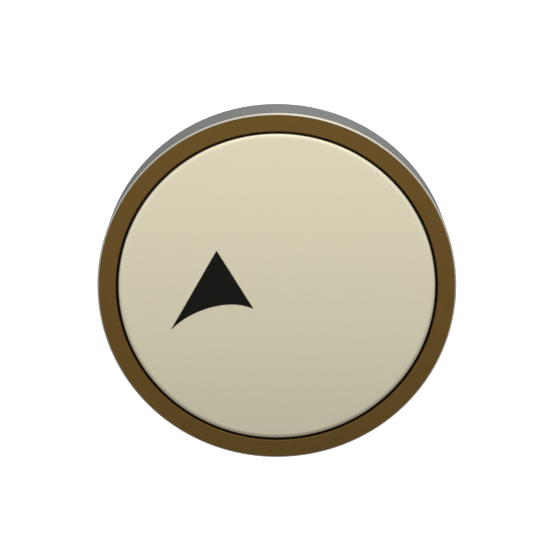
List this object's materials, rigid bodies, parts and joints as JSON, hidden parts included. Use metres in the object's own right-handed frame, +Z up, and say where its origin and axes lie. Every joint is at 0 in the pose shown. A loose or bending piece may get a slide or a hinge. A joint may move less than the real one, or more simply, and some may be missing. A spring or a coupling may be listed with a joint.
{
  "type": "pedestrian push button",
  "caption": "Round pedestrian-crossing push button: satin metal cap with an arrow in a bronze ring on a grey cast flange, with switch and screw terminals behind.",
  "frame": {"origin": "centre of the flange's mounting face, on the button's axis", "axes": "+Y along the axis into the panel, so the face looks to -Y; +Z up, the way the arrow points; +X to the right as seen from the front"},
  "size_m": [0.07, 0.0442, 0.07],
  "materials": {
    "anodised_ring": "bronze anodised, fine turned",
    "button_metal": "champagne satin anodised",
    "arrow_black": "matt black",
    "painted_casting": "grey paint on a die casting",
    "steel": "plain stainless",
    "spring_steel": "drawn stainless wire",
    "black_rubber": "matt",
    "bush_plastic": "natural acetal",
    "switch_plastic": "moulded black",
    "plunger_plastic": "moulded red",
    "plate_plastic": "moulded black phenolic",
    "brass": "turned brass",
    "contact_copper": "copper alloy strip",
    "plated_steel": "zinc plated",
    "lead_red": "flexible insulation",
    "lead_black": "flexible insulation"
  },
  "bodies": {
    "housing": {"housing": "painted_casting", "bezel_ring": "anodised_ring", "bezel_lock_screw": "steel", "rim_seal": "black_rubber", "bumper_ring": "black_rubber", "mounting_gasket": "black_rubber", "stem_seal": "black_rubber", "switch_case": "switch_plastic", "switch_lid": "switch_plastic", "switch_terminals": "contact_copper", "switch_blade": "contact_copper", "lever_pin": "steel", "switch_bracket": "plated_steel", "bracket_screws": "plated_steel", "switch_screws": "plated_steel", "switch_nuts": "plated_steel", "cover_gasket": "black_rubber", "terminal_plate": "plate_plastic", "cover_screws": "steel", "post_nuts": "brass", "cup_washers": "plated_steel", "terminal_screws": "plated_steel", "lead_common": "lead_black", "lead_open": "lead_red", "guide_bush_1": "bush_plastic", "return_spring_1": "spring_steel", "guide_bush_2": "bush_plastic", "return_spring_2": "spring_steel", "guide_bush_3": "bush_plastic", "return_spring_3": "spring_steel", "terminal_post_common": "brass", "solder_lug_common": "plated_steel", "terminal_post_open": "brass", "solder_lug_open": "plated_steel"},
    "button": {"button_cap": "button_metal", "arrow_inlay": "arrow_black", "actuator_pin": "steel", "guide_screws": "steel", "stop_washers": "black_rubber"},
    "switch_lever": {"switch_lever": "steel"},
    "switch_plunger": {"switch_plunger": "plunger_plastic"}
  },
  "joints": [
    {"name": "button_press", "type": "slide", "parent": "housing", "child": "button", "axis": [0, 1, 0], "range_m": [0, 0.002], "stiffness_N_per_m": 2500, "springref_m": -0.0024, "deforming": ["return_spring_1", "return_spring_2", "return_spring_3"]},
    {"name": "lever_pivot", "type": "hinge", "parent": "housing", "child": "switch_lever", "pos_m": [-0.014, 0.0066, 0], "axis": [0, 0, 1], "range_deg": [0, 8.2]},
    {"name": "plunger_slide", "type": "slide", "parent": "housing", "child": "switch_plunger", "axis": [0, 1, 0], "range_m": [0, 0.0006]}
  ],
  "couplings": [
    {"joint": "lever_pivot", "follows": "button_press", "rad_per_m": 70.948},
    {"joint": "plunger_slide", "follows": "button_press", "ratio": 0.28571}
  ]
}
